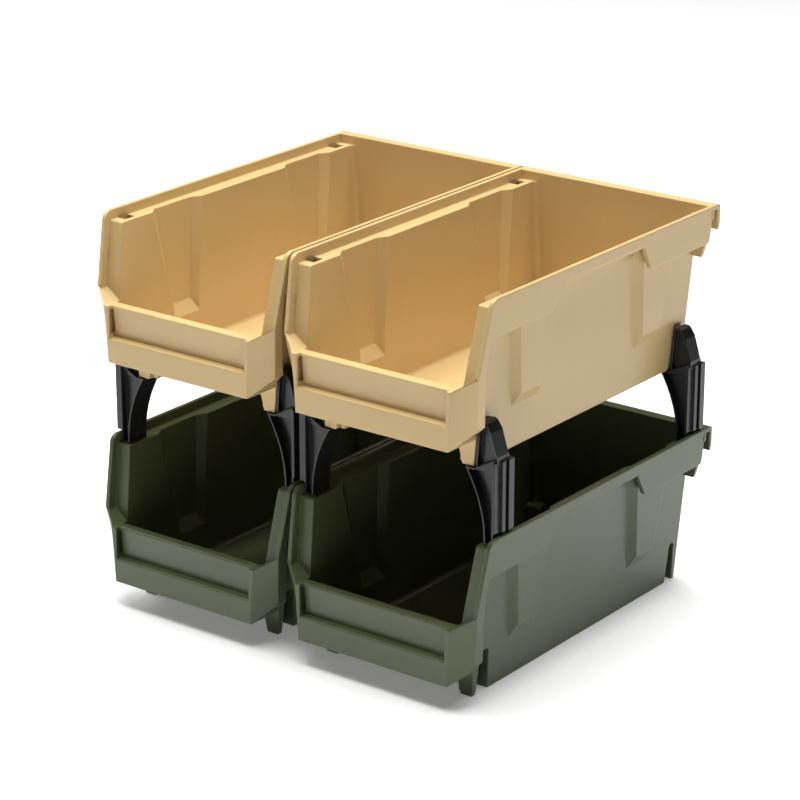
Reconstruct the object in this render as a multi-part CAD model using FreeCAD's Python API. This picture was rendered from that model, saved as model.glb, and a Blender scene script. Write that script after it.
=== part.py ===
"""Open-fronted stackable storage bins, four of them, raised on riser posts.

Two lower bins stand side by side.  Four riser posts plug into the corner
slots of each lower bin, and an upper bin stands on the platforms of the
posts.  Every bin is one injection moulding and every post is another; a left
post is a right post turned half round.

Millimetres, +Z up, bin fronts face -Y.  The origin is on the floor, at the
centre of the footprint of the whole set.

One bin is drawn in its own coordinates first: X = 0 on its middle plane,
Y = 0 on its front face, Z = 0 under its feet.  The riser post is drawn as
the front right one of a bin, in the same coordinates.
"""
import FreeCAD, Part
import os

Vector = FreeCAD.Vector

# Overall size of one bin
RIM_HALF = 52.5          # outer face of the rim, from the middle plane
HEIGHT = 76.0            # top of the rim
DEPTH = 187.0            # back of the hook lip
WALL = 1.6               # moulded wall thickness

# Tub: the box that holds the parts
TUB_HALF = 39.0          # outer face of a side wall at floor level
SIDE_DRAFT = 0.08        # side walls lean out by this much per mm of height
BACK_Y = 180.2           # outer face of the back wall at floor level
BACK_DRAFT = 0.025       # the back wall leans out less than the side walls
FLOOR_LOW = 4.4          # underside of the floor, the skirt runs down past it
FLOOR_TOP = 6.2
SKIRT_FRONT = 19.3       # front face of the two front feet
STEP_Y = 26.0            # inside, the floor steps up here to the raised nose
NOSE_LOW = 12.0          # underside of the nose
NOSE_FLOOR = 13.8
INSIDE_ROUND = 2.5       # fillet inside, along the floor and up the rear corners
OUTSIDE_ROUND = 1.0      # the upright rear corners from outside
FOOT_IN = 33.3           # inner edge of a front foot where it stands
FOOT_SPREAD = 3.0        # a foot is this much wider where it meets the nose

# Front panel with its label field
FRONT_HALF = 38.8        # half width of the front face at floor level
FRONT_DRAFT = 0.058
FRONT_CORNER_Y = 0.8     # the front face turns into the cheeks here
PANEL_TOP = 38.0
PANEL_BACK = 7.8         # inner face of the front panel
LABEL_LOW = 23.4         # ledge under the label field
LABEL_DEEP = 3.8         # the label field is set back by this much at its ledge
LABEL_TOP_DEEP = 2.6     # and by this much at the top of the panel
LABEL_HALF = 38.7
SLIT_IN = 38.1           # a slit at each end of the label field takes the card
SLIT_OUT = 40.3
SLIT_Y = (1.2, 6.4)
SLIT_Z = (25.0, 36.4)
LEDGE_ROUND = 0.9        # rounding of the ledge and of the top of the panel

# Flange: the outer skirt that hangs from the rim
STRIP_TOP_X = 50.5       # outer face of the flange at the height of the cheek
CHEEK_Z = 44.0           # upper corner of the cheek
STRIP_LOW_X = 47.4       # outer face of the narrow strip at its lower end
STRIP_LOW = 19.9
FLANGE_THICK = 2.0
LEDGE_TOP = 71.7         # ledge between the rim and the inside of the tub
RIM_FRONT_Y = 13.6       # front edge of the flange at the top of the rim
STRIP_FRONT_Y = 6.6      # the same edge at the upper corner of the cheek
STRIP_LOW_Y = 9.9        # and at the lower end of the strip
STRIP_WIDE = 5.4
DEEP_LOW = 59.2          # lower edge of the deep ends of the flange
DEEP_FRONT_Y = 12.4      # the front deep end starts here, above the strip
BAND_LOW = 70.8          # lower edge of the shallow middle
RISE_Y = (56.7, 67.5)    # the lower edge rises to the shallow middle
FALL_Y = (125.4, 132.8)  # and falls to the rear deep end
FLANGE_END_Y = 181.7
FLANGE_END_LEAN = 1.5    # the rear end leans forward by this much at its foot

# Cheek: the flared wall between the front face and the flange
FACET_SLOPE = 0.644      # the small facet on top of the cheek rises outward

# Pillars that close the gap between the flange and the side wall
PILLAR_LOW_Y = 9.7       # front face at the height of the panel top
PILLAR_TOP_Y = 16.2      # front face at the ledge
REAR_PILLAR_Y = 177.7
REAR_PILLAR_LOW = 52.8

# Outward pockets in the side walls
POCKET_CENTRES = (53.0, 146.0)
POCKET_DEEP = 3.1
POCKET_LOW_Z = 25.3
POCKET_FOOT_Z = 19.6
POCKET_HALF_TOP = 13.5   # half width of the raised face at the ledge
POCKET_HALF_LOW = 7.0
POCKET_FOOT_HALF = 9.5   # half width where the pocket meets the wall, below
POCKET_SPREAD_TOP = 5.0  # the slanted flank adds this much at the ledge
POCKET_SPREAD_LOW = 2.5

# Notches above the feet, as (front, rear, top); they open downward
NOTCHES = ((22.0, 30.8, 20.0), (171.4, 177.6, 19.4))
NOTCH_DEEP = 7.0
NOTCH_TAPER = 0.07       # each side of a notch leans in by this much per mm of height
NOTCH_ROUND = 1.8

# Hook lip along the top of the back wall
LIP_THICK = 2.0
LIP_LOW = 64.6
LIP_TAPER = 2.6          # the lower end of the lip thins out over this height

# Slots in the ledge that take the posts, as (front, rear)
SLOTS = ((20.9, 27.1), (170.5, 176.7))
SLOT_DEEP = 5.0
SLOT_IN = 45.6
SLOT_OUT = 50.3

# Riser post
POST_FRONT = 18.2        # front face of a front post
POST_DEEP = 11.6
REAR_SHIFT = 149.6       # from a front post to the rear post behind it
POST_OUT = 49.9          # outer face of the column
POST_IN = 45.2           # inner face of the column where it stands
WAIST_LOW = 74.0         # from here up the inner face curves in to the platform
WAIST_STEPS = 9
PLATFORM_IN = 35.6       # inner tip of the platform
PLATFORM_TIP = 0.8       # thickness of the platform at its tip
PLATFORM_OUT = 40.0      # from here the top edge slopes up to the shoulder
SHOULDER_Z = 110.0
TONGUE_Y = (19.6, 27.6)
TONGUE_OUT = 50.8        # the tongue stands a little proud of the column
TONGUE_LOW = 107.4
TONGUE_TOP = 125.4
TONGUE_IN = 41.3         # inner edge of the tongue at its top
TONGUE_CROWN = 44.9      # outer end of its flat top
TONGUE_BEND = 47.6       # from here the outer edge drops steeply
TONGUE_BEND_Z = 121.4
EDGE = 0.8               # edges left standing around the recesses
RECESS_FRONT = 3.8
RECESS_REAR = 3.2
TONGUE_RECESS = 2.4
PAD_OUT = 50.6           # low pad on the outer face, in front of the rib
RIB_Y = (22.2, 24.6)     # rib on the outer face of the column
RIB_OUT = 51.8
PLATE_Y = (26.2, 29.8)   # plate behind the groove that follows the rib
PLATE_OUT = 52.3         # the rib and the plate ride over the rim of the lower bin
PLATE_LOW = 77.6
PLATE_TOP = 108.8
PLUG_LOW = 68.2
PLUG_GAP = 0.45          # clearance of the plug in its slot, on each side

# Shapes that are joined or cut run past each other by this much
OVERLAP = 1.0

# Assembly
REST_GAP = 0.3           # clearance where one part stands on another
PLATFORM_Z = 104.7
STACK_PITCH = PLATFORM_Z + REST_GAP
BIN_PITCH = 106.0        # from bin to bin, side by side


def tub_half(z):
    """Outer half width of the tub at height z."""
    return TUB_HALF + SIDE_DRAFT * z


def front_half(z):
    """Half width of the front face at height z."""
    return FRONT_HALF + FRONT_DRAFT * z


def back_y(z):
    """Outer face of the back wall at height z."""
    return BACK_Y + BACK_DRAFT * z


def strip_x(z):
    """Outer face of the strip between the cheek and the pillar, at height z."""
    slope = (STRIP_TOP_X - STRIP_LOW_X) / (CHEEK_Z - STRIP_LOW)
    return STRIP_TOP_X - slope * (CHEEK_Z - z)


def strip_front_y(z):
    """Front edge of the strip beside the cheek, at height z."""
    slope = (STRIP_LOW_Y - STRIP_FRONT_Y) / (CHEEK_Z - STRIP_LOW)
    return STRIP_FRONT_Y + slope * (CHEEK_Z - z)


def box(x0, x1, y0, y1, z0, z1):
    """Box between two opposite corners."""
    return Part.makeBox(x1 - x0, y1 - y0, z1 - z0, Vector(x0, y0, z0))


def prism(points, direction):
    """Extrude the closed outline through the points along a direction."""
    outline = Part.makePolygon(points + [points[0]])
    return Part.Face(outline).extrude(direction)


def side_prism(outline, x0, x1):
    """Extrude an outline drawn in side view, as (y, z), from x0 to x1."""
    points = [Vector(x0, y, z) for y, z in outline]
    return prism(points, Vector(x1 - x0, 0, 0))


def front_prism(outline, y0, y1):
    """Extrude an outline drawn in front view, as (x, z), from y0 to y1."""
    points = [Vector(x, y0, z) for x, z in outline]
    return prism(points, Vector(0, y1 - y0, 0))


def between_rings(lower, upper):
    """Solid with flat or ruled sides between two outlines of equal length."""
    wires = [Part.makePolygon(ring + [ring[0]]) for ring in (lower, upper)]
    return Part.makeLoft(wires, True, True)


def round_edges(solid, radius, wanted):
    """Fillet the edges of a solid whose midpoint is accepted by wanted."""
    edges = []
    for edge in solid.Edges:
        middle = edge.valueAt((edge.FirstParameter + edge.LastParameter) / 2.0)
        if wanted(middle):
            edges.append(edge)
    return solid.makeFillet(radius, edges)


def round_corners(solid, corners):
    """Fillet the edges across X at the given corners of the side view, as (y, z, radius)."""
    for y, z, radius in corners:
        solid = round_edges(solid, radius, lambda p: abs(p.y - y) < 0.5 and abs(p.z - z) < 0.5)
    return solid


def mirrored(shape):
    """Mirror image of a shape in the middle plane of the bin."""
    return shape.mirror(Vector(0, 0, 0), Vector(1, 0, 0))


def tub_outside():
    """Solid block with the outer faces of the tub and of its nose."""
    rings = []
    for z in (0.0, HEIGHT):
        front = front_half(z)
        side = tub_half(z)
        half = [(front, 0.0), (side, FRONT_CORNER_Y), (side, DEPTH + 5.0)]
        right = [Vector(x, y, z) for x, y in half]
        left = [Vector(-x, y, z) for x, y in reversed(half)]
        rings.append(right + left)
    leaning = between_rings(rings[0], rings[1])
    outline = [
        (-1.0, NOSE_LOW),
        (SKIRT_FRONT, NOSE_LOW),
        (SKIRT_FRONT, 0.0),
        (back_y(0.0), 0.0),
        (back_y(LEDGE_TOP), LEDGE_TOP),
        (PILLAR_TOP_Y, LEDGE_TOP),
        (PILLAR_LOW_Y, PANEL_TOP),
        (-1.0, PANEL_TOP),
    ]
    block = leaning.common(side_prism(outline, -RIM_HALF, RIM_HALF))
    rear = back_y(0.0) - 1.0
    return round_edges(
        block, OUTSIDE_ROUND,
        lambda p: p.y > rear and abs(p.x) > TUB_HALF and 1.0 < p.z < LEDGE_TOP - 1.0,
    )


def leaning_block(inset, low, high):
    """Block between the leaning side walls, set in by the given amount."""
    rings = []
    for z in (low, high):
        side = tub_half(z) - inset
        corners = ((side, -5.0), (side, DEPTH), (-side, DEPTH), (-side, -5.0))
        rings.append([Vector(x, y, z) for x, y in corners])
    return between_rings(rings[0], rings[1])


def tub_inside():
    """The space inside the tub, above its stepped floor."""
    high = HEIGHT + 10.0
    outline = [
        (PANEL_BACK, high),
        (PANEL_BACK, NOSE_FLOOR),
        (STEP_Y, NOSE_FLOOR),
        (STEP_Y, FLOOR_TOP),
        (back_y(FLOOR_TOP) - WALL, FLOOR_TOP),
        (back_y(high) - WALL, high),
    ]
    space = leaning_block(WALL, 0.0, high).common(side_prism(outline, -RIM_HALF, RIM_HALF))
    return round_edges(space, INSIDE_ROUND, lambda p: inside_corner(p, high))


def inside_corner(point, high):
    """True on the floor and corner edges of the space inside the tub."""
    on_floor = point.z < FLOOR_TOP + 0.1
    at_side = abs(point.x) > tub_half(0.0) - WALL - 1.0
    at_back = point.y > back_y(0.0) - WALL - 1.0
    return on_floor or (at_side and at_back and point.z < high - 1.0)


def under_floor():
    """The space under the floor, inside the skirt and between the front feet."""
    skirt_back = SKIRT_FRONT + WALL
    outline = [
        (skirt_back, -1.0),
        (skirt_back, NOSE_LOW),
        (STEP_Y - WALL, NOSE_LOW),
        (STEP_Y - WALL, FLOOR_LOW),
        (back_y(0.0) - WALL, FLOOR_LOW),
        (back_y(0.0) - WALL, -1.0),
    ]
    space = leaning_block(WALL, -1.0, HEIGHT).common(side_prism(outline, -RIM_HALF, RIM_HALF))
    return space.fuse(foot_gap(STEP_Y - WALL))


def foot_gap(rear):
    """The space between the two tapering front feet, back to the given depth."""
    wide = FOOT_IN
    narrow = FOOT_IN - FOOT_SPREAD
    outline = [
        (-wide, -OVERLAP),
        (wide, -OVERLAP),
        (wide, 0.0),
        (narrow, NOSE_LOW),
        (-narrow, NOSE_LOW),
        (-wide, 0.0),
    ]
    return front_prism(outline, SKIRT_FRONT - OVERLAP, rear)


def notch(front, rear, top, grow):
    """Space of a notch on the right; grow gives the block that houses it."""
    deep = tub_half(0.0) - NOTCH_DEEP - grow
    outer = tub_half(0.0) - 0.5 if grow else tub_half(top) + OVERLAP
    lean = NOTCH_TAPER * top
    outline = [
        (front - grow, -OVERLAP),
        (front - grow + lean, top + grow),
        (rear + grow - lean, top + grow),
        (rear + grow, -OVERLAP),
    ]
    block = side_prism(outline, deep, outer)
    return round_edges(block, NOTCH_ROUND, lambda p: p.z > top + grow - 0.01 and deep < p.x < outer)


def pocket_ring(centre, z, wall_half, face_half, inset, proud):
    """Outline of a pocket in plan, at height z."""
    base = tub_half(z) - inset
    near = base - 0.6
    return [
        Vector(near, centre - wall_half, z),
        Vector(base, centre - wall_half, z),
        Vector(base + proud, centre - face_half, z),
        Vector(base + proud, centre + face_half, z),
        Vector(base, centre + wall_half, z),
        Vector(near, centre + wall_half, z),
    ]


def pocket(centre, inset):
    """Pocket of the right side wall: inset 0 for its outside, WALL for its inside."""
    slim = 0.55 * inset
    top = LEDGE_TOP + inset
    top_ring = pocket_ring(
        centre, top,
        POCKET_HALF_TOP + POCKET_SPREAD_TOP - slim,
        POCKET_HALF_TOP - slim,
        inset, POCKET_DEEP,
    )
    low_ring = pocket_ring(
        centre, POCKET_LOW_Z + slim,
        POCKET_HALF_LOW + POCKET_SPREAD_LOW - slim,
        POCKET_HALF_LOW - slim,
        inset, POCKET_DEEP,
    )
    foot_ring = pocket_ring(
        centre, POCKET_FOOT_Z + slim,
        POCKET_FOOT_HALF - slim,
        POCKET_FOOT_HALF - slim - 0.1,
        inset, 0.05,
    )
    return between_rings(low_ring, top_ring).fuse(between_rings(foot_ring, low_ring))


def flange():
    """Rim and outer skirt of the right side, with its strip down to the cheek."""
    section = [
        (RIM_HALF, HEIGHT),
        (STRIP_TOP_X, CHEEK_Z),
        (strip_x(STRIP_LOW - 2.0), STRIP_LOW - 2.0),
        (strip_x(STRIP_LOW - 2.0) - FLANGE_THICK, STRIP_LOW - 2.0),
        (STRIP_TOP_X - FLANGE_THICK, CHEEK_Z),
        (RIM_HALF - FLANGE_THICK, HEIGHT),
    ]
    outline = [
        (RIM_FRONT_Y, HEIGHT),
        (STRIP_FRONT_Y, CHEEK_Z),
        (STRIP_LOW_Y, STRIP_LOW),
        (STRIP_LOW_Y + STRIP_WIDE, STRIP_LOW),
        (STRIP_FRONT_Y + STRIP_WIDE, CHEEK_Z),
        (DEEP_FRONT_Y, DEEP_LOW),
        (RISE_Y[0], DEEP_LOW),
        (RISE_Y[1], BAND_LOW),
        (FALL_Y[0], BAND_LOW),
        (FALL_Y[1], DEEP_LOW),
        (FLANGE_END_Y - FLANGE_END_LEAN, DEEP_LOW),
        (FLANGE_END_Y, HEIGHT),
    ]
    corners = [
        (RIM_FRONT_Y, HEIGHT, 4.5),
        (DEEP_FRONT_Y, DEEP_LOW, 4.0),
        (FALL_Y[1], DEEP_LOW, 1.0),
        (FLANGE_END_Y - FLANGE_END_LEAN, DEEP_LOW, 1.5),
    ]
    sheet = round_corners(side_prism(outline, 0.0, RIM_HALF + 5.0), corners)
    return front_prism(section, 0.0, DEPTH).common(sheet)


def cheek_ring(z, thickness):
    """Outline of the cheek in plan: thickness 0 for the outside, WALL for its hollow."""
    front = Vector(front_half(z), 0.0, z)
    outer = Vector(strip_x(z), strip_front_y(z), z)
    along = (outer - front).normalize()
    inward = Vector(-along.y, along.x, 0.0) * thickness
    side = tub_half(z)
    first = front + inward
    last = outer + inward
    start = first
    end = last
    inner_x = side - 1.5
    if thickness > 0.0:
        slope = along.y / along.x
        start = Vector(side, first.y + (side - first.x) * slope, z)
        outer_x = strip_x(z) - FLANGE_THICK
        end = Vector(outer_x, first.y + (outer_x - first.x) * slope, z)
        inner_x = side
    rear = SKIRT_FRONT - 2.0 if thickness > 0.0 else strip_front_y(z) + STRIP_WIDE - 1.0
    ring = [start, end, Vector(end.x, rear, z), Vector(inner_x, rear, z)]
    if thickness == 0.0:
        ring.append(Vector(inner_x, 0.0, z))
    return ring


def under_facet(drop):
    """Everything below the facet that closes the cheek on top."""
    near = PILLAR_LOW_Y + 20.0
    inner = tub_half(PANEL_TOP) - 6.0
    outer = RIM_HALF + 3.0
    pivot = front_half(PANEL_TOP)
    height = [PANEL_TOP + FACET_SLOPE * (x - pivot) - drop for x in (inner, outer)]
    outline = [(inner, 0.0), (outer, 0.0), (outer, height[1]), (inner, height[0])]
    return front_prism(outline, -1.0, near)


def cheek():
    """Right cheek: a flared wall, closed on top by a small facet."""
    low = NOSE_LOW
    block = between_rings(cheek_ring(low, 0.0), cheek_ring(CHEEK_Z, 0.0))
    hollow = between_rings(cheek_ring(low, WALL), cheek_ring(CHEEK_Z, WALL))
    block = block.common(under_facet(0.0))
    hollow = hollow.common(under_facet(WALL))
    # The lower edge rises from the corner of the front face to the strip.
    front = front_half(low)
    outer = strip_x(STRIP_LOW)
    below = [
        (front, low),
        (outer, STRIP_LOW),
        (RIM_HALF + 3.0, STRIP_LOW + 1.0),
        (RIM_HALF + 3.0, low - 1.0),
        (front, low - 1.0),
    ]
    return block.cut(hollow).cut(front_prism(below, -1.0, SKIRT_FRONT))


def front_pillar():
    """Right front pillar, from the facet of the cheek up to the ledge."""
    outline = [
        (PILLAR_LOW_Y, PANEL_TOP),
        (PILLAR_TOP_Y, LEDGE_TOP),
        (PILLAR_TOP_Y + WALL, LEDGE_TOP),
        (PILLAR_LOW_Y + WALL - 0.4, PANEL_TOP - 2.0),
        (PILLAR_LOW_Y - 0.4, PANEL_TOP - 2.0),
    ]
    plate = side_prism(outline, 0.0, RIM_HALF)
    sides = [
        (tub_half(PANEL_TOP - 2.0) - WALL, PANEL_TOP - 2.0),
        (strip_x(PANEL_TOP - 2.0) - 1.0, PANEL_TOP - 2.0),
        (STRIP_TOP_X - 1.0, CHEEK_Z),
        (RIM_HALF - 1.0, LEDGE_TOP),
        (tub_half(LEDGE_TOP) - WALL, LEDGE_TOP),
    ]
    plate = plate.common(front_prism(sides, 0.0, 30.0))
    return plate.cut(under_facet(1.0))


def rear_pillar():
    """Right rear pillar, a short gusset behind the rear slot."""
    outline = [
        (tub_half(REAR_PILLAR_LOW) - 1.0, REAR_PILLAR_LOW),
        (STRIP_TOP_X - 1.6, REAR_PILLAR_LOW),
        (STRIP_TOP_X + 0.3, DEEP_LOW),
        (RIM_HALF - 1.0, LEDGE_TOP),
        (tub_half(LEDGE_TOP) - 1.0, LEDGE_TOP),
    ]
    return front_prism(outline, REAR_PILLAR_Y, REAR_PILLAR_Y + 2.0)


def ledge():
    """Right ledge, from the side wall out to the flange."""
    inner = tub_half(LEDGE_TOP) - WALL
    rear = back_y(LEDGE_TOP) - 0.5
    return box(inner, RIM_HALF - 1.0, PILLAR_TOP_Y, rear, LEDGE_TOP - WALL, LEDGE_TOP)


def rear_rim():
    """Back wall above the ledge, and the hook lip behind it."""
    wall_y = back_y(LEDGE_TOP)
    outline = [
        (wall_y - WALL, LEDGE_TOP - WALL),
        (wall_y - WALL, HEIGHT),
        (DEPTH, HEIGHT),
        (DEPTH, LIP_LOW + LIP_TAPER),
        (DEPTH - LIP_THICK / 2.0, LIP_LOW),
        (DEPTH - LIP_THICK, LIP_LOW),
        (DEPTH - LIP_THICK, HEIGHT - LIP_THICK),
        (wall_y, HEIGHT - LIP_THICK),
        (wall_y, LEDGE_TOP - WALL),
    ]
    rim = side_prism(outline, -RIM_HALF, RIM_HALF)
    return round_corners(rim, [(DEPTH, HEIGHT, 1.2)])


def label_field():
    """Space of the label field in the front panel, and of the slits at its ends."""
    outline = [
        (-OVERLAP, LABEL_LOW),
        (LABEL_DEEP, LABEL_LOW),
        (LABEL_TOP_DEEP, PANEL_TOP),
        (LABEL_TOP_DEEP, HEIGHT),
        (-OVERLAP, HEIGHT),
    ]
    field = side_prism(outline, -LABEL_HALF, LABEL_HALF)
    slit = box(SLIT_IN, SLIT_OUT, SLIT_Y[0], SLIT_Y[1], SLIT_Z[0], SLIT_Z[1])
    return field.fuse([slit, mirrored(slit)])


def round_front(body):
    """Round the ledge of the label field, the panel top and the tops of the pillars."""
    lines = [
        (0.0, LABEL_LOW),
        (LABEL_TOP_DEEP, PANEL_TOP),
        (PANEL_BACK, PANEL_TOP),
        (PILLAR_TOP_Y, LEDGE_TOP),
    ]
    for y, z in lines:
        body = round_edges(body, LEDGE_ROUND, lambda p: abs(p.y - y) < 0.05 and abs(p.z - z) < 0.05)
    return body


def make_bin():
    """One storage bin."""
    right = [cheek(), flange(), ledge(), front_pillar(), rear_pillar()]
    right += [pocket(centre, 0.0) for centre in POCKET_CENTRES]
    shells = right + [mirrored(shape) for shape in right]
    body = tub_outside().fuse(shells + [rear_rim()])
    spaces = [pocket(centre, WALL) for centre in POCKET_CENTRES]
    spaces += [
        box(SLOT_IN, SLOT_OUT, front, rear, LEDGE_TOP - SLOT_DEEP, LEDGE_TOP + OVERLAP)
        for front, rear in SLOTS
    ]
    spaces += [mirrored(space) for space in spaces]
    body = body.cut(spaces + [tub_inside(), label_field(), under_floor()])
    houses = [notch(front, rear, top, WALL) for front, rear, top in NOTCHES]
    houses = [house.common(tub_outside()) for house in houses]
    houses += [mirrored(house) for house in houses]
    notches = [notch(front, rear, top, 0.0) for front, rear, top in NOTCHES]
    notches += [mirrored(space) for space in notches]
    body = body.fuse(houses).cut(notches + [foot_gap(NOTCHES[0][0])])
    return round_front(body.removeSplitter())


def waist_x(z):
    """Inner face of the column of a post, a parabola, at height z."""
    share = (z - WAIST_LOW) / (PLATFORM_Z - WAIST_LOW)
    return POST_IN - (POST_IN - PLATFORM_IN) * share ** 2


def post_profile(inset):
    """Front view of the column of a post, set in by the given amount."""
    foot = LEDGE_TOP + REST_GAP + inset
    top = PLATFORM_Z - inset
    profile = [(POST_OUT - inset, foot), (POST_IN + inset, foot)]
    for step in range(WAIST_STEPS + 1):
        z = WAIST_LOW + (top - PLATFORM_TIP - WAIST_LOW) * step / WAIST_STEPS
        profile.append((waist_x(z) + inset, z))
    profile.append((PLATFORM_IN + 2.0 * inset, top))
    profile.append((PLATFORM_OUT, top))
    profile.append((POST_OUT - inset, SHOULDER_Z - inset))
    return profile


def post_column():
    """Column of a post, recessed at the front and at the rear."""
    rear = POST_FRONT + POST_DEEP
    column = front_prism(post_profile(0.0), POST_FRONT, rear)
    recess = post_profile(EDGE)
    front_recess = front_prism(recess, POST_FRONT - 1.0, POST_FRONT + RECESS_FRONT)
    rear_recess = front_prism(recess, rear - RECESS_REAR, rear + 1.0)
    return column.cut([front_recess, rear_recess])


def tongue_outline(inset):
    """Front view of the tongue, from the sloping shoulder up, set in by the given amount."""
    return [
        (PLATFORM_OUT + inset, PLATFORM_Z + inset),
        (TONGUE_IN + inset, TONGUE_TOP - inset),
        (TONGUE_CROWN - inset / 2.0, TONGUE_TOP - inset),
        (TONGUE_BEND - inset, TONGUE_BEND_Z - inset / 2.0),
        (TONGUE_OUT - inset, SHOULDER_Z + OVERLAP),
        (TONGUE_OUT - inset, SHOULDER_Z + inset / 2.0),
    ]


def post_tongue():
    """Upright tongue that locates the foot of the upper bin from outside."""
    front, rear = TONGUE_Y
    tongue = front_prism(tongue_outline(0.0), front, rear)
    for x, radius in ((TONGUE_IN, 1.4), (TONGUE_CROWN, 2.5), (TONGUE_BEND, 2.5)):
        tongue = round_edges(tongue, radius, lambda p: abs(p.x - x) < 0.1 and p.z > TONGUE_BEND_Z - 0.1)
    recess = front_prism(tongue_outline(EDGE), front - OVERLAP, front + TONGUE_RECESS)
    tongue = tongue.cut(recess)
    root = [
        (PLATFORM_OUT, PLATFORM_Z),
        (TONGUE_OUT, SHOULDER_Z),
        (TONGUE_OUT, TONGUE_LOW),
        (POST_OUT, TONGUE_LOW),
        (POST_OUT, PLATFORM_Z - OVERLAP),
        (PLATFORM_OUT, PLATFORM_Z - OVERLAP),
    ]
    column_rear = POST_FRONT + POST_DEEP
    shoulder = [
        (rear - OVERLAP, SHOULDER_Z - 2.0),
        (column_rear, SHOULDER_Z - 2.0),
        (column_rear, SHOULDER_Z),
        (column_rear - 1.2, SHOULDER_Z + 1.2),
        (rear - OVERLAP, SHOULDER_Z + 4.0),
    ]
    step = side_prism(shoulder, POST_OUT - 6.0, POST_OUT - 0.4)
    return tongue.fuse([front_prism(root, front, rear), step])


def make_post():
    """One riser post, the front right one."""
    inner = POST_OUT - EDGE / 2.0
    pad = box(inner, PAD_OUT, POST_FRONT, RIB_Y[1], PLATE_LOW, PLATE_TOP)
    rib = box(inner, RIB_OUT, RIB_Y[0], RIB_Y[1], PLATE_LOW, PLATE_TOP)
    plate = box(inner, PLATE_OUT, PLATE_Y[0], PLATE_Y[1], PLATE_LOW, PLATE_TOP)
    front, rear = SLOTS[0]
    plug = box(
        SLOT_IN + PLUG_GAP, SLOT_OUT - PLUG_GAP,
        front + PLUG_GAP, rear - PLUG_GAP,
        PLUG_LOW, LEDGE_TOP + REST_GAP + 1.0,
    )
    return post_column().fuse([post_tongue(), pad, rib, plate, plug]).removeSplitter()


def export(shape, name, x, z):
    """Move a finished piece to its place in the set and write its STEP file."""
    placed = shape.copy()
    placed.translate(Vector(x, -DEPTH / 2.0, z))
    placed.exportStep("parts/" + name + ".step")
    print(name, placed.isValid(), len(placed.Solids), round(placed.Volume, 1))


def main():
    os.makedirs("parts", exist_ok=True)
    storage_bin = make_bin()
    right_post = make_post()
    left_post = right_post.copy()
    left_post.rotate(Vector(0, POST_FRONT + POST_DEEP / 2.0, 0), Vector(0, 0, 1), 180.0)
    for column, x in (("left", -BIN_PITCH / 2.0), ("right", BIN_PITCH / 2.0)):
        export(storage_bin, column + "_lower_bin", x, 0.0)
        export(storage_bin, column + "_upper_bin", x, STACK_PITCH)
        for place, shift in (("front", 0.0), ("rear", REAR_SHIFT)):
            for side, post in (("left", left_post), ("right", right_post)):
                moved = post.copy()
                moved.translate(Vector(0, shift, 0))
                export(moved, column + "_column_" + place + "_" + side + "_post", x, 0.0)


main()
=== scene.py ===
"""Looks of the stackable storage bin set: moulded plastic, studio and camera."""
import math

import bpy
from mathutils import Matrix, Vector

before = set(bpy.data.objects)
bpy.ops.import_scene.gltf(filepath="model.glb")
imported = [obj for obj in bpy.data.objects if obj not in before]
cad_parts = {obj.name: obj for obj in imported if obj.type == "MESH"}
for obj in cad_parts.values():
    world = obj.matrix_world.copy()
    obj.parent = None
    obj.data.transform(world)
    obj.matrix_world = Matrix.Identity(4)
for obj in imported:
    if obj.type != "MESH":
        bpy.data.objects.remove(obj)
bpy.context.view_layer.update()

MM = 0.001

# Colours, in linear RGB
TAN = (0.600, 0.425, 0.190)
GREEN = (0.074, 0.090, 0.039)
BLACK = (0.008, 0.008, 0.009)
FLOOR_DULL = (0.90, 0.90, 0.905)
FLOOR_BRIGHT = (0.93, 0.93, 0.93)
WHITE = (1.0, 1.0, 1.0, 1.0)

# Radius of the rounded edges, and strength of the fine moulding grain
BIN_EDGE = 0.9 * MM
POST_EDGE = 0.4 * MM
GRAIN = 0.15

# Refractive index of the plastic, and roughness of the floor
PLASTIC_IOR = 1.49
FLOOR_ROUGHNESS = 0.55

# Noise scales, in cells per metre
CLOUD_SCALE = 14.0
FLOW_SCALE = (9.0, 9.0, 60.0)
SPECKLE_SCALE = 900.0
SMUDGE_SCALE = (30.0, 30.0, 18.0)
SCUFF_SCALE = (40.0, 700.0, 120.0)
WAVE_SCALE = 22.0
GRAIN_SCALE = 1900.0
FLOOR_SCALE = 3.0

# Heights of the bumps, and strength of the wave
WAVE_HEIGHT = 1.0 * MM
WAVE_STRENGTH = 0.04
GRAIN_HEIGHT = 0.04 * MM

# Strength of the room and of the glowing floor, and power of the lamps in watts
ROOM = 0.02
FLOOR_GLOW = 0.185
OVERHEAD = 40.0
LEFT = 13.0
REAR = 2.4

# Lamps: place and side length, in metres
OVERHEAD_PLACE = (0.0, 0.05, 1.5)
OVERHEAD_SIDE = 1.1
LEFT_PLACE = (-1.2, 0.0, 1.2)
REAR_PLACE = (0.0, 1.2, 1.2)
SIDE_LAMP_SIDE = 1.2

# Half the side of the floor, in metres
FLOOR_HALF = 6.0

# Camera, as it stands round the object: angles in degrees, lens and sensor in mm
CAMERA_AZIMUTH = 37.04
CAMERA_ELEVATION = 19.95
CAMERA_DISTANCE = 1.3446
CAMERA_LENS = 134.85
CAMERA_SENSOR = 36.0
TARGET = Vector((0.0007, -0.0035, 0.0936))

# Colour sockets of a Mix node, which share their names with its other sockets
MIX_FIRST = 6
MIX_SECOND = 7
MIX_RESULT = 2


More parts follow.
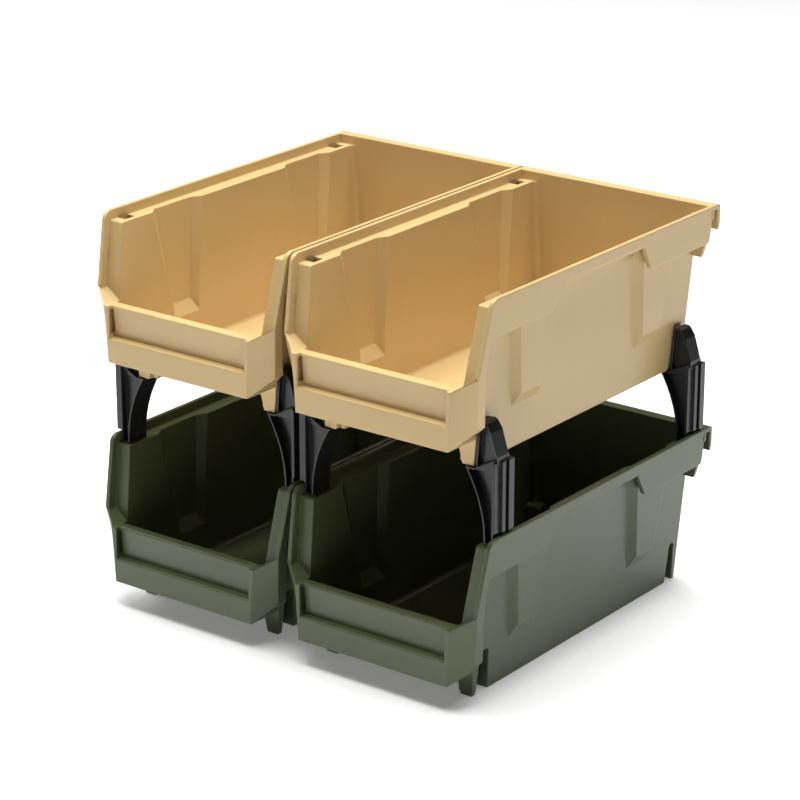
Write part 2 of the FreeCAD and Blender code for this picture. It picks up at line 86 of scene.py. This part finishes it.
class Nodes:
    """Short helpers for building a node tree."""

    def __init__(self, material):
        material.use_nodes = True
        self.tree = material.node_tree
        self.tree.nodes.clear()

    def add(self, kind, **settings):
        node = self.tree.nodes.new(kind)
        for name, value in settings.items():
            setattr(node, name, value)
        return node

    def link(self, output, socket):
        self.tree.links.new(output, socket)

    def noise(self, vector, scale, detail=2.0, roughness=0.5):
        node = self.add("ShaderNodeTexNoise")
        node.inputs["Scale"].default_value = scale
        node.inputs["Detail"].default_value = detail
        node.inputs["Roughness"].default_value = roughness
        self.link(vector, node.inputs["Vector"])
        return node.outputs["Fac"]

    def stretch(self, vector, scale):
        node = self.add("ShaderNodeMapping")
        node.inputs["Scale"].default_value = scale
        self.link(vector, node.inputs["Vector"])
        return node.outputs["Vector"]

    def remap(self, value, low, high, to_low, to_high):
        node = self.add("ShaderNodeMapRange")
        node.inputs["From Min"].default_value = low
        node.inputs["From Max"].default_value = high
        node.inputs["To Min"].default_value = to_low
        node.inputs["To Max"].default_value = to_high
        self.link(value, node.inputs["Value"])
        return node.outputs["Result"]

    def add_values(self, first, second):
        node = self.add("ShaderNodeMath", operation="ADD")
        self.link(first, node.inputs[0])
        self.link(second, node.inputs[1])
        return node.outputs["Value"]

    def dot(self, first, second):
        node = self.add("ShaderNodeVectorMath", operation="DOT_PRODUCT")
        self.link(first, node.inputs[0])
        self.link(second, node.inputs[1])
        return node.outputs["Value"]

    def rounded_normal(self, radius):
        node = self.add("ShaderNodeBevel", samples=6)
        node.inputs["Radius"].default_value = radius
        return node.outputs["Normal"]

    def blend(self, factor, first, second):
        node = self.add("ShaderNodeMix", data_type="RGBA")
        self.link(factor, node.inputs["Factor"])
        for socket, colour in ((node.inputs[MIX_FIRST], first), (node.inputs[MIX_SECOND], second)):
            if isinstance(colour, tuple):
                socket.default_value = (*colour, 1.0)
            else:
                self.link(colour, socket)
        return node.outputs[MIX_RESULT]

    def bump(self, height, distance, strength, normal=None):
        node = self.add("ShaderNodeBump")
        node.inputs["Distance"].default_value = distance
        node.inputs["Strength"].default_value = strength
        self.link(height, node.inputs["Height"])
        if normal is not None:
            self.link(normal, node.inputs["Normal"])
        return node.outputs["Normal"]


def scaled(colour, factor):
    return tuple(min(1.0, channel * factor) for channel in colour)


def moulded_plastic(name, colour, smooth, dull, edge_highlight_gain, edge_radius):
    """Satin moulded plastic: faint colour flow, scuffs, grain and rounded edges with a painted
    highlight along them.

    smooth and dull are the two ends of its roughness, and the edge gain brightens the base colour
    along the edges as a painted highlight.
    """
    material = bpy.data.materials.new(name)
    n = Nodes(material)
    shader = n.add("ShaderNodeBsdfPrincipled")
    output = n.add("ShaderNodeOutputMaterial")
    place = n.add("ShaderNodeTexCoord").outputs["Object"]
    face = n.add("ShaderNodeNewGeometry").outputs["Normal"]
    rounded = n.rounded_normal(edge_radius)

    cloud = n.noise(place, CLOUD_SCALE, 3.0, 0.55)
    flow = n.noise(n.stretch(place, FLOW_SCALE), 1.0)
    speckle = n.noise(place, SPECKLE_SCALE)
    tone = n.blend(n.remap(cloud, 0.3, 0.7, 0.0, 1.0), scaled(colour, 0.97), scaled(colour, 1.03))
    tone = n.blend(n.remap(flow, 0.35, 0.75, 0.0, 0.3), tone, scaled(colour, 0.95))
    tone = n.blend(n.remap(speckle, 0.35, 0.75, 0.0, 0.10), tone, scaled(colour, 0.85))
    # Painted highlight: the base colour is brightened where the rounded shading normal turns away
    # from the face, along every edge
    painted_edge_highlight = n.remap(n.dot(rounded, face), 0.86, 0.995, 0.5, 0.0)
    tone = n.blend(painted_edge_highlight, tone, scaled(colour, edge_highlight_gain))
    n.link(tone, shader.inputs["Base Color"])

    smudge = n.noise(n.stretch(place, SMUDGE_SCALE), 1.0, 4.0, 0.6)
    scuff = n.noise(n.stretch(place, SCUFF_SCALE), 1.0, 3.0, 0.7)
    rough = n.remap(smudge, 0.3, 0.7, smooth, dull)
    rough = n.add_values(rough, n.remap(scuff, 0.62, 0.75, 0.0, 0.10))
    n.link(rough, shader.inputs["Roughness"])
    shader.inputs["IOR"].default_value = PLASTIC_IOR

    wave = n.bump(n.noise(place, WAVE_SCALE, 1.0), WAVE_HEIGHT, WAVE_STRENGTH, rounded)
    fine = n.bump(n.noise(place, GRAIN_SCALE), GRAIN_HEIGHT, GRAIN, wave)
    n.link(fine, shader.inputs["Normal"])
    n.link(shader.outputs["BSDF"], output.inputs["Surface"])
    return material


def finish_nodes(nodes):
    # The fifth argument sets how strongly the painted edge highlight brightens each plastic
    tan = moulded_plastic("tan_bin_plastic", TAN, 0.29, 0.34, 1.15, BIN_EDGE)
    green = moulded_plastic("green_bin_plastic", GREEN, 0.29, 0.34, 1.4, BIN_EDGE)
    black = moulded_plastic("black_post_plastic", BLACK, 0.30, 0.36, 1.6, POST_EDGE)
    for name, piece in nodes.items():
        if name.endswith("_upper_bin"):
            material = tan
        elif name.endswith("_lower_bin"):
            material = green
        else:
            material = black
        piece.data.materials.clear()
        piece.data.materials.append(material)


def make_floor():
    """Pale studio floor, large enough to fill the view."""
    mesh = bpy.data.meshes.new("floor")
    signs = ((-1, -1), (1, -1), (1, 1), (-1, 1))
    corners = [(x * FLOOR_HALF, y * FLOOR_HALF, 0) for x, y in signs]
    mesh.from_pydata(corners, [], [(0, 1, 2, 3)])
    floor = bpy.data.objects.new("floor", mesh)
    bpy.context.scene.collection.objects.link(floor)
    material = bpy.data.materials.new("floor_paper")
    n = Nodes(material)
    shader = n.add("ShaderNodeBsdfPrincipled")
    output = n.add("ShaderNodeOutputMaterial")
    place = n.add("ShaderNodeTexCoord").outputs["Object"]
    cloud = n.noise(place, FLOOR_SCALE, 3.0)
    tone = n.blend(cloud, FLOOR_DULL, FLOOR_BRIGHT)
    n.link(tone, shader.inputs["Base Color"])
    shader.inputs["Roughness"].default_value = FLOOR_ROUGHNESS
    shader.inputs["Emission Color"].default_value = WHITE
    shader.inputs["Emission Strength"].default_value = FLOOR_GLOW
    n.link(shader.outputs["BSDF"], output.inputs["Surface"])
    mesh.materials.append(material)


def area_light(name, place, side, power):
    """Square softbox that faces the middle of the floor under the object."""
    data = bpy.data.lights.new(name, "AREA")
    data.shape = "RECTANGLE"
    data.size = side
    data.size_y = side
    data.energy = power
    light = bpy.data.objects.new(name, data)
    light.location = place
    to_centre = Vector((0.0, 0.0, 0.0)) - Vector(place)
    light.rotation_euler = to_centre.to_track_quat("-Z", "Y").to_euler()
    bpy.context.scene.collection.objects.link(light)


def make_world():
    """Dim grey room round the lit floor."""
    world = bpy.data.worlds.new("studio")
    bpy.context.scene.world = world
    n = Nodes(world)
    background = n.add("ShaderNodeBackground")
    background.inputs["Color"].default_value = WHITE
    background.inputs["Strength"].default_value = ROOM
    output = n.add("ShaderNodeOutputWorld")
    n.link(background.outputs["Background"], output.inputs["Surface"])


def make_lights():
    make_world()
    area_light("overhead_softbox", OVERHEAD_PLACE, OVERHEAD_SIDE, OVERHEAD)
    area_light("left_softbox", LEFT_PLACE, SIDE_LAMP_SIDE, LEFT)
    area_light("rear_softbox", REAR_PLACE, SIDE_LAMP_SIDE, REAR)


def make_camera():
    azimuth = math.radians(CAMERA_AZIMUTH)
    elevation = math.radians(CAMERA_ELEVATION)
    direction = Vector((
        math.sin(azimuth) * math.cos(elevation),
        -math.cos(azimuth) * math.cos(elevation),
        math.sin(elevation),
    ))
    data = bpy.data.cameras.new("camera")
    data.lens = CAMERA_LENS
    data.sensor_width = CAMERA_SENSOR
    data.clip_start = 0.05
    data.clip_end = 50.0
    camera = bpy.data.objects.new("camera", data)
    camera.location = TARGET + direction * CAMERA_DISTANCE
    camera.rotation_euler = (-direction).to_track_quat("-Z", "Y").to_euler()
    bpy.context.scene.collection.objects.link(camera)
    bpy.context.scene.camera = camera


def main():
    bpy.context.scene.view_settings.view_transform = "Standard"
    finish_nodes(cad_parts)
    make_floor()
    make_lights()
    make_camera()


main()
